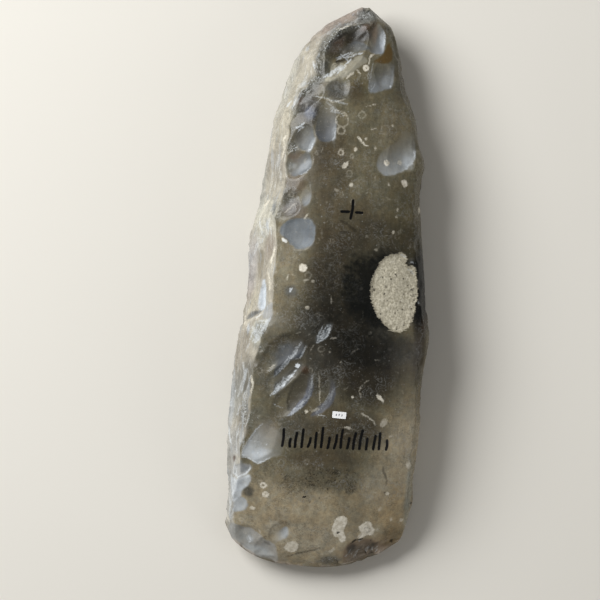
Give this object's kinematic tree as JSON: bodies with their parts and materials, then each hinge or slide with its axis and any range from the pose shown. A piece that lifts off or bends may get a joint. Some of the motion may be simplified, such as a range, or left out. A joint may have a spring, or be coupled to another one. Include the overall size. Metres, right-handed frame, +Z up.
{
  "type": "polished stone axe",
  "caption": "Flint axe head, flaked and partly polished, with a chalk patch in its upper face and a small paper label, lying on its lower broad face.",
  "frame": {"origin": "bottom centre of the bounding box, on the surface that the axe lies on", "axes": "+Y along the axe from the cutting edge to the butt, +X across it, +Z up out of the broad face"},
  "size_m": [0.069, 0.2, 0.0343],
  "materials": {
    "flint": "grey-brown flint, polished on the broad face and milky on the flaked left side",
    "paper": "matte white"
  },
  "bodies": {
    "root": {"flint_axe_head": "flint", "paper_number_label": "paper"}
  },
  "joints": []
}
